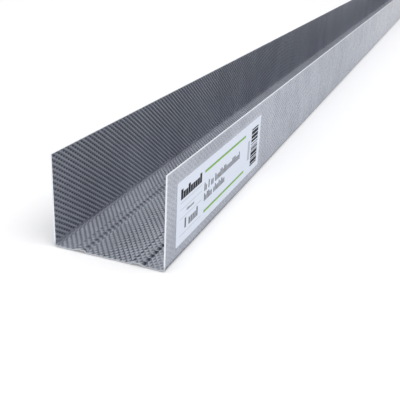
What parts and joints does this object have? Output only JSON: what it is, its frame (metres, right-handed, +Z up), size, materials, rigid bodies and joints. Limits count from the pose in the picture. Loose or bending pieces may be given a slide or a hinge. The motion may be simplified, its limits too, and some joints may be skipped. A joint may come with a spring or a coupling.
{
  "type": "drywall track",
  "caption": "Roll-formed galvanised steel U channel with a ribbed web, fixed to floor or ceiling to hold the ends of wall studs.",
  "frame": {"origin": "centre of the web's underside, half way along the length, on the floor", "axes": "+X along the length, the labelled end at -X; +Y across the web, away from the labelled flange; +Z up out of the channel's mouth"},
  "size_m": [3, 0.0501, 0.04],
  "materials": {
    "galvanised_sheet": "hot-dip galvanised, dimpled, satin",
    "label_paper": "satin coated paper"
  },
  "bodies": {
    "root": {"track": "galvanised_sheet", "label": "label_paper"}
  },
  "joints": []
}
